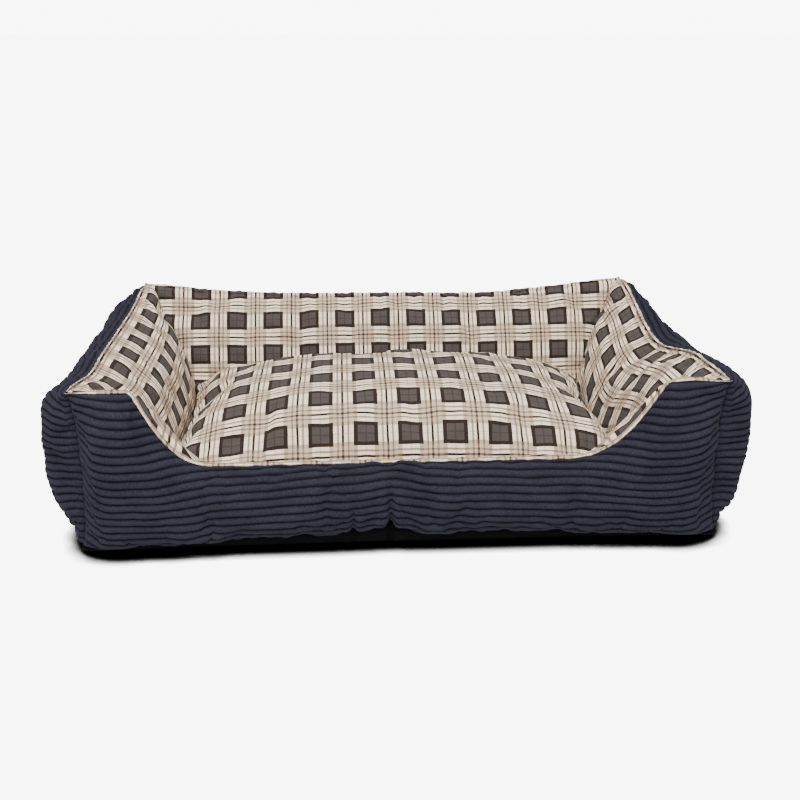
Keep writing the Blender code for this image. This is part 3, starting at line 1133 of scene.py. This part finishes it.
@dataclass
class Cushion:
    """The loose pad in the well: a crowned top cover, a flatter bottom cover and fibre between them."""

    crown: float = 118 * MM
    seam: float = 50 * MM
    waist: float = 9 * MM
    cloth: float = 1.2 * MM
    step: float = 3.0 * MM
    spans: tuple = (62, 38)
    check_phase: tuple = (0.022, 0.018)
    fibre_points: tuple = (60, 40)

    def __post_init__(self) -> None:
        """Reads the cushion's plan from the frame."""
        low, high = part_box("cushion_top_cover")
        self.centre = ((low[0] + high[0]) / 2, (low[1] + high[1]) / 2)
        self.half = ((high[0] - low[0]) / 2, (high[1] - low[1]) / 2)
        self.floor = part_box("cushion_bottom_cover")[0][2]

    @staticmethod
    def bow(u: Array, power: float) -> Array:
        """Height of a stuffed edge-to-edge section, 1 in the middle and 0 at the seam."""
        return np.sqrt(np.maximum(0.0, 1.0 - np.abs(u) ** power))

    def even_shares(self, axis: int, power: float) -> Array:
        """Plan shares that are equally far apart along the top's stuffed section.

        Args:
            axis: 0 along the cushion, 1 across it.
            power: of the section.

        Returns:
            Shares from -1 to 1.
        """
        u = np.linspace(-1.0, 1.0, 1601)
        line = np.stack([u * self.half[axis], (self.crown - self.seam) * self.bow(u, power)], axis=1)
        return resample(line, self.spans[axis] + 1)[:, 0] / self.half[axis]

    def surface(self, up: bool) -> Array:
        """One cover before it swells.

        Args:
            up: whether it is the top one.

        Returns:
            A grid of points, from low x to high x and low y to high y.
        """
        power = (2.5, 2.7) if up else (9.0, 9.0)
        u, v = grid(self.even_shares(0, 2.5), self.even_shares(1, 2.7))
        x = self.centre[0] + u * (self.half[0] - self.waist * (1 - v**2) * np.abs(u))
        y = self.centre[1] + v * (self.half[1] - self.waist * (1 - u**2) * np.abs(v))
        swell = self.bow(u, power[0]) * self.bow(v, power[1])
        # The crown sits a little right of the middle and slopes off to the left and the back.
        tilt = 1.0 - 0.035 * (u - 0.15) ** 2 - 0.04 * np.maximum(0.0, v - 0.2) ** 2
        rise = (self.crown - self.seam) * swell * tilt if up else (self.floor - self.seam) * swell
        return np.stack([x, y, self.seam + rise], axis=-1)

    def stuff(self) -> None:
        """Sews the two covers together, swells them in a cloth simulation and keeps both surfaces."""
        top, bottom = self.surface(True), self.surface(False)
        shape = top.shape[:2]
        number = np.arange(top[..., 0].size).reshape(shape)
        edge = np.ones(shape, bool)
        edge[1:-1, 1:-1] = False
        both = np.stack([number, np.where(edge, number, number + number.size)])
        used, packed = np.unique(both, return_inverse=True)
        points = np.concatenate([top.reshape(-1, 3), bottom.reshape(-1, 3)])[used]
        number, under = packed.reshape(both.shape)
        faces = []
        for i in range(shape[0] - 1):
            for j in range(shape[1] - 1):
                faces.append((number[i, j], number[i + 1, j], number[i + 1, j + 1], number[i, j + 1]))
                faces.append((under[i, j], under[i, j + 1], under[i + 1, j + 1], under[i + 1, j]))
        held = np.zeros(len(points))
        held[number[edge]] = 1.0
        held[under[~edge]] = 0.9
        moved = Stuffing(pressure=2.0, growth=0.035, cap=7 * MM).swell(points, faces, held)
        self.top, self.bottom = Patch(moved[number]), Patch(moved[under])

    def cover(self, up: bool, material: Material) -> Object:
        """One cover as a closed shell, with gathers along its seam.

        Args:
            up: whether it is the top one.
            material: what it is made of.

        Returns:
            The new object.
        """
        patch, side = (self.top, 1) if up else (self.bottom, -1)
        size = (self.half[0] * 2.13, self.half[1] * 2.25)
        a, b = grid(*(np.linspace(0.0, 1.0, int(round(length / self.step)) + 1) for length in size))
        x, y = (a - 0.5) * size[0], (b - 0.5) * size[1]
        edge = np.minimum(np.minimum(a, 1 - a) * size[0], np.minimum(b, 1 - b) * size[1])
        base, normal = patch.at(a, b), patch.normal(a, b) * side
        lift = Ripple(91, 0.08)(x, y) * 1.5 * MM * ease(edge / 0.05)
        lift += Ripple(92, 0.024)(x, y) * 0.5 * MM * ease(edge / 0.015)
        lift += self.gathers(x, y, size) * ease(edge / 0.004)
        lift *= 1.0 if up else 0.3
        gap = 0.35 * MM * ease((0.004 - edge) / 0.004)
        points = base + normal * lift[..., None] + np.array([0.0, 0.0, side]) * gap[..., None]
        inner = points - normal * self.cloth * ease(edge / 0.006)[..., None]
        inner += (np.array([*self.centre, self.seam]) - inner) * (0.006 * (1.0 - ease(edge / 0.006)))[..., None]
        uv = np.stack([x + self.check_phase[0], y + self.check_phase[1]], axis=-1)
        return Skin.grid(points, inner, uv, (side, 1)).piece("cushion_top" if up else "cushion_bottom", material)

    @staticmethod
    def gathers(x: Array, y: Array, size: tuple) -> Array:
        """Small pleats square to the seam, strongest beside it.

        Args:
            x: distances from the middle, along the cushion.
            y: the same across it.
            size: of the cover.

        Returns:
            Distances outwards, in metres.
        """
        beside_x = Ripple(93, 0.016)(y, 0 * x) * np.exp(-(size[0] / 2 - np.abs(x)) / 0.022)
        beside_y = Ripple(94, 0.016)(x, 0 * y) * np.exp(-(size[1] / 2 - np.abs(y)) / 0.022)
        return (beside_x + beside_y) * 1.2 * MM

    def filling(self, material: Material) -> Object:
        """The fibre inside the covers.

        Args:
            material: what it is made of.

        Returns:
            The new object.
        """
        a, b = grid(*(np.linspace(e, 1 - e, n) for e, n in zip((0.02, 0.03), self.fibre_points)))
        upper = self.top.at(a, b) - self.top.normal(a, b) * 5 * MM
        lower = self.bottom.at(a, b) + self.bottom.normal(a, b) * 4 * MM
        upper[..., 2] = np.maximum(upper[..., 2], lower[..., 2] + 1.0 * MM)
        return Skin.grid(upper, lower, np.stack([0 * a, 0 * b], axis=-1)).piece("cushion_fibre", material)


# ---------------------------------------------------------------- the base


@dataclass
class Base:
    """The flat bottom of the bed: an anti-slip underside, wadding and the floor cloth of the well."""

    plan: Plan
    walls: list
    cloth: float = 1.5 * MM
    dot_pitch: float = 9.0 * MM
    dot_radius: float = 1.6 * MM
    dot_inset: float = 16 * MM
    side_points: int = 168

    def ring(self, inset: float, height: Callable, follow: float = 0.0) -> Array:
        """A closed loop of points at one inset from the seam planes.

        Args:
            inset: distance inwards from the seam planes.
            height: gives the height for a wall and a share from -1 to 1 along it.
            follow: how much of the seam's way outwards the loop follows.

        Returns:
            The loop, anticlockwise seen from above.
        """
        points = []
        for wall in self.walls:
            for u in (-1.0 + 2.0 * i / self.side_points for i in range(self.side_points)):
                out = follow * wall.foot_out(u) - inset
                points.append(wall.place(u * (wall.half - inset), out, height(wall, u)))
        return np.array(points)

    def underside(self, material: Material) -> Object:
        """The black panel, flat below and turned up all round to its seam with the walls.

        Args:
            material: what it is made of.

        Returns:
            The new object.
        """
        steps = (  # inset in millimetres, and height as a share of the seam's
            (30, 0.0), (12, 0.0), (5, 0.10), (0.5, 0.42), (-1.2, 0.78), (-1.0, 1.06),
            (1.2, 1.08), (2.2, 0.70), (6.5, 0.32), (13, 0.14), (30, 0.14),
        )
        loops = [
            self.ring(inset * MM, lambda wall, u: share * wall.bottom(u), min(1.0, 1.6 * share))
            for inset, share in steps
        ]
        for loop in loops[-2:]:
            loop[:, 2] = self.cloth
        return loft("base_underside", loops, material)

    def wadding(self, material: Material) -> Object:
        """The sheet of wadding over the underside.

        Args:
            material: what it is made of.

        Returns:
            The new object.
        """
        low = self.cloth + 0.4 * MM
        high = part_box("base_floor_cloth")[0][2] - 0.4 * MM
        heights = (low, low + 0.8 * MM, (low + high) / 2, high - 0.8 * MM, high)
        loops = [self.ring(inset * MM, lambda wall, u: z) for inset, z in zip((24, 16, 14, 17, 26), heights)]
        return loft("base_padding", loops, material)

    def floor_cloth(self, material: Material) -> Object:
        """The cloth of the well, slightly rumpled over the wadding.

        Args:
            material: what it is made of.

        Returns:
            The new object.
        """
        low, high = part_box("base_floor_cloth")
        x, y = grid(np.linspace(low[0], high[0], 129), np.linspace(low[1], high[1], 85))
        rumple = Ripple(95, 0.07)(x, y) * 0.3 * MM
        top, under = (np.stack([x, y, high[2] - depth * MM + rumple], axis=-1) for depth in (0.5, 1.2))
        return Skin.grid(top, under, np.stack([x, y], axis=-1)).piece("well_floor_cloth", material)

    def dots(self, material: Material) -> Object:
        """Rows of small grip dots moulded on the underside.

        Args:
            material: what they are made of.

        Returns:
            The new object.
        """
        length, width = (2 * (seam - self.dot_inset) for seam in (self.plan.seam_x, self.plan.seam_y))
        sizes = {"Length": length, "Width": width, "Pitch": self.dot_pitch, "Radius": self.dot_radius}
        return grown("base_grip_dots", dot_field(), {**sizes, "Material": material})


def loft(name: str, loops: list, material: Material) -> Object:
    """A closed solid through loops of equal length, capped at both ends.

    Args:
        name: the piece's name.
        loops: arrays of points.
        material: what it is made of.

    Returns:
        The new object, with its faces turned outwards.
    """
    faces = tube_faces(len(loops), len(loops[0]), capped=True)
    made = mesh_piece(name, np.concatenate(loops), faces, None, material)
    work = bmesh.new()
    work.from_mesh(made.data)
    bmesh.ops.recalc_face_normals(work, faces=work.faces)
    work.to_mesh(made.data)
    work.free()
    return made


# ---------------------------------------------------------------- geometry nodes


def dot_field() -> Tree:
    """A square field of flattened domes, with named sizes and a material as inputs.

    Returns:
        The geometry node tree.
    """
    tree = bpy.data.node_groups.new("grip_dots", "GeometryNodeTree")
    sizes = dict.fromkeys(("Length", "Width", "Pitch", "Radius"), "Float")
    for name, kind in {"Geometry": "Geometry", **sizes, "Material": "Material"}.items():
        tree.interface.new_socket(name, in_out="INPUT", socket_type=f"NodeSocket{kind}")
    tree.interface.new_socket("Geometry", in_out="OUTPUT", socket_type="NodeSocketGeometry")
    node = partial(add_node, tree)
    get = node("NodeGroupInput").outputs
    spread = {"Size X": get["Length"], "Size Y": get["Width"]}
    for axis, side in (("X", "Length"), ("Y", "Width")):
        ratio = node("ShaderNodeMath", {0: get[side], 1: get["Pitch"]}, operation="DIVIDE")
        spread[f"Vertices {axis}"] = node("ShaderNodeMath", {0: ratio}, operation="ROUND")
    field = node("GeometryNodeMeshGrid", spread)
    dome = node("GeometryNodeMeshUVSphere", {"Radius": get["Radius"], "Segments": 8, "Rings": 4})
    flat = node("GeometryNodeTransform", {"Geometry": dome, "Scale": (1.0, 1.0, 0.22)})
    dots = node("GeometryNodeInstanceOnPoints", {"Points": field, "Instance": flat})
    real = node("GeometryNodeRealizeInstances", {0: dots})
    dressed = node("GeometryNodeSetMaterial", {"Geometry": real, "Material": get["Material"]})
    node("NodeGroupOutput", {0: dressed})
    return tree


def grown(name: str, tree: Tree, inputs: dict) -> Object:
    """Runs a geometry node tree and keeps its result as a plain mesh.

    Args:
        name: the piece's name.
        tree: the geometry node tree.
        inputs: its named inputs.

    Returns:
        The new object, with no modifier left on it.
    """
    holder = link(bpy.data.objects.new(name + "_holder", bpy.data.meshes.new(name + "_holder")))
    nodes = holder.modifiers.new("nodes", "NODES")
    nodes.node_group = tree
    for item in tree.interface.items_tree:
        if item.in_out == "INPUT" and item.name in inputs:
            nodes[item.identifier] = inputs[item.name]
    graph = bpy.context.evaluated_depsgraph_get()
    mesh = bpy.data.meshes.new_from_object(holder.evaluated_get(graph), depsgraph=graph)
    bpy.data.objects.remove(holder)
    mesh.name = name
    mesh.shade_smooth()
    return link(bpy.data.objects.new(name, mesh))


# ---------------------------------------------------------------- the studio


@dataclass(frozen=True)
class Studio:
    """A pale sweep, soft white light and the camera."""

    eye: tuple = (-0.0573, -1.1964, 0.5244)
    down: float = 20.334  # degrees below the horizon
    turn: float = 3.157  # degrees to the right of straight ahead
    lens: float = 46.23
    floor_glow: float = 8.0
    surround: float = 0.4
    backdrop: float = 8.5
    shadow: float = 0.02  # how far the shadow at the bed's foot reaches, in metres
    floor_half: float = 40.0
    floor_drop: float = 0.4 * MM

    def camera(self) -> None:
        """Places the camera."""
        data = bpy.data.cameras.new("camera")
        data.lens = self.lens
        data.sensor_width = 36.0
        made = link(bpy.data.objects.new("camera", data))
        made.location = self.eye
        made.rotation_euler = (math.radians(90.0 - self.down), 0.0, -math.radians(self.turn))
        bpy.context.scene.camera = made

    def floor(self) -> None:
        """A plain white floor, which the camera sees evenly bright but for the shadow at the bed's foot."""
        made, shader, node = blank_material("studio_white", 0.8, Base_Color=rgb("#f4f4f4"), Specular_IOR_Level=0.1)
        near = node("ShaderNodeAmbientOcclusion", {"Distance": self.shadow}, samples=16)
        clear = node("ShaderNodeMapRange", {0: near.outputs["AO"], 1: 0.45, 2: 1.0, 3: 0.0, 4: 1.0})
        faded = node("ShaderNodeMath", {0: clear, 1: 3.0}, operation="POWER")
        strength = node("ShaderNodeMath", {0: faded, 1: self.floor_glow}, operation="MULTIPLY")
        glow = node("ShaderNodeEmission", {"Strength": strength})
        seen = node("ShaderNodeLightPath").outputs["Is Camera Ray"]
        both = node("ShaderNodeMixShader", {0: seen, 1: shader, 2: glow})
        made.node_tree.links.new(both.outputs[0], made.node_tree.nodes["Material Output"].inputs["Surface"])
        corners = [(x * self.floor_half, y * self.floor_half) for x, y in ((-1, -1), (1, -1), (1, 1), (-1, 1))]
        points = [(*corner, -self.floor_drop) for corner in corners]
        floor = mesh_piece("studio_floor", points, [(0, 1, 2, 3)], None, made)

    def light(self, name: str, place: tuple, size: float, watts: float, aim: tuple = (0, 0, 0.08)) -> None:
        """One large soft light.

        Args:
            name: the light's name.
            place: where it hangs.
            size: its width in metres.
            watts: its power.
            aim: the point that it faces.
        """
        data = bpy.data.lights.new(name, "AREA")
        data.shape = "DISK"
        data.size = size
        data.energy = watts
        made = link(bpy.data.objects.new(name, data))
        made.location = place
        made.rotation_euler = (Vector(aim) - Vector(place)).to_track_quat("-Z", "Y").to_euler()

    def world(self) -> None:
        """Even white light from all round, which the camera sees brighter than the bed does."""
        world = bpy.data.worlds.new("studio_world")
        world.use_nodes = True
        tree = world.node_tree
        back = tree.nodes["Background"]
        back.inputs[0].default_value = (1.0, 1.0, 1.0, 1.0)
        seen = add_node(tree, "ShaderNodeLightPath").outputs["Is Camera Ray"]
        span = {0: seen, 1: 0.0, 2: 1.0, 3: self.surround, 4: self.backdrop}
        tree.links.new(add_node(tree, "ShaderNodeMapRange", span).outputs[0], back.inputs[1])
        bpy.context.scene.world = world

    def build(self) -> None:
        """Sets up the whole studio."""
        self.camera()
        self.floor()
        self.world()
        self.light("key", (-0.2, -1.4, 2.4), 1.3, 138.0)
        self.light("top", (0.1, 0.3, 2.4), 1.0, 12.0)


# ---------------------------------------------------------------- assembly


@dataclass
class PetBed:
    """The whole bed: four stuffed walls, the base and the loose cushion."""

    plan: Plan
    finishes: Finishes

    def keep(self, piece: Object, body: str, slot: str, *nodes: str, fill: float | None = None) -> None:
        """Ties a finished piece to its body and hides the nodes that it stands for.

        Args:
            piece: the finished object.
            body: the body that it moves with.
            slot: the record's material slot; not used.
            *nodes: the nodes that it replaces.
            fill: how full it is, where it is padded; not used.
        """
        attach(piece, body)
        if nodes:
            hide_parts(*nodes)
        log.info("%s: %d vertices", piece.name, len(piece.data.vertices))

    def walls(self) -> list:
        """Builds the four walls.

        Returns:
            The walls, whose bottom seams the base follows.
        """
        bolsters = make_bolsters(self.plan)
        for wall in bolsters:
            wall.stuff()
            outer, lining = f"{wall.name}_outer_panel", f"{wall.name}_lining_panel"
            filling = f"{wall.name}_bolster_filling"
            self.keep(wall.outer_panel(self.finishes.corduroy), "bed", "navy_corduroy", outer, fill=0.75)
            self.keep(wall.lining_panel(self.finishes.check), "bed", "checked_cotton", lining, fill=0.75)
            self.keep(wall.filling(self.finishes.fibre), "bed", "hollow_fibre", filling, fill=0.75)
        return bolsters

    def base(self, walls: list) -> None:
        """Builds the base.

        Args:
            walls: the four walls that it is sewn to.
        """
        made = Base(self.plan, walls)
        self.keep(made.underside(self.finishes.anti_slip), "bed", "anti_slip_cloth", "base_anti_slip_panel")
        self.keep(made.wadding(self.finishes.fibre), "bed", "hollow_fibre", "base_wadding", fill=0.3)
        floor = made.floor_cloth(self.finishes.floor_cloth)
        self.keep(floor, "bed", "floor_cloth", "base_floor_cloth")
        self.keep(made.dots(self.finishes.rubber), "bed", "anti_slip_cloth")

    def cushion(self) -> None:
        """Builds the loose cushion."""
        pad = Cushion()
        pad.stuff()
        for up, node in ((True, "cushion_top_cover"), (False, "cushion_bottom_cover")):
            self.keep(pad.cover(up, self.finishes.check), "cushion", "checked_cotton", node, fill=0.7)
        self.keep(pad.filling(self.finishes.fibre), "cushion", "hollow_fibre", "cushion_filling", fill=0.7)

    def build(self) -> None:
        """Builds every piece in order."""
        self.base(self.walls())
        self.cushion()


def main() -> None:
    """Builds the studio and the bed."""
    logging.basicConfig(level=logging.INFO, format="%(message)s")
    Studio().build()
    PetBed(Plan.read(), Finishes.make()).build()


if __name__ == "__main__":
    main()
